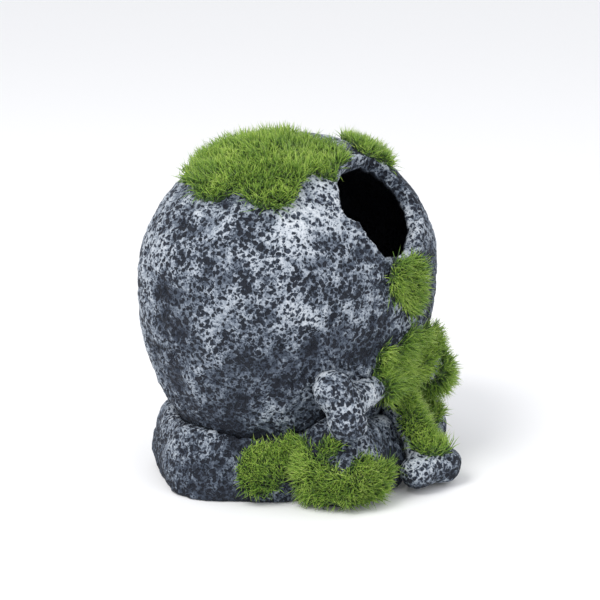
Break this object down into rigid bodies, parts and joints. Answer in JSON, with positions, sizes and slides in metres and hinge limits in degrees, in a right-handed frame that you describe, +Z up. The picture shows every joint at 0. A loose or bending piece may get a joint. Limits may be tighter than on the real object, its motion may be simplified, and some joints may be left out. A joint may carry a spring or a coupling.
{
  "type": "aquarium bubbling ornament",
  "caption": "Partial build of a skull ornament, without its face: a hollow cast-resin aquarium dome with a broken opening on a rock base, with two bones, flock moss pads and an air line to an air stone inside.",
  "frame": {"origin": "on the base's flat underside, on the dome's vertical axis", "axes": "+Z up; Y is the dome's long axis, with the closed blank end towards -Y and the air inlet towards +Y; the broken opening faces +X"},
  "size_m": [0.0962, 0.11, 0.1073],
  "materials": {
    "cast_resin": "matt, dark grey with pale dry-brushed relief",
    "moss_flock": "stiff nylon flock fibres, yellow-green tips",
    "inlet_plastic": "moulded, satin",
    "soft_tube": "translucent silicone",
    "porous_stone": "sintered mineral, rough"
  },
  "bodies": {
    "root": {"cranium_shell": "cast_resin", "rock_base": "cast_resin", "front_bone": "cast_resin", "rear_bone": "cast_resin", "moss_crown": "moss_flock", "moss_rear_crown": "moss_flock", "moss_rear_side": "moss_flock", "moss_front_bone": "moss_flock", "moss_bone_end": "moss_flock", "moss_rear_bone": "moss_flock", "moss_base_front": "moss_flock", "moss_base_side": "moss_flock", "air_inlet": "inlet_plastic", "link_tube": "soft_tube", "air_stone_nipple": "inlet_plastic", "air_stone": "porous_stone"}
  },
  "joints": []
}
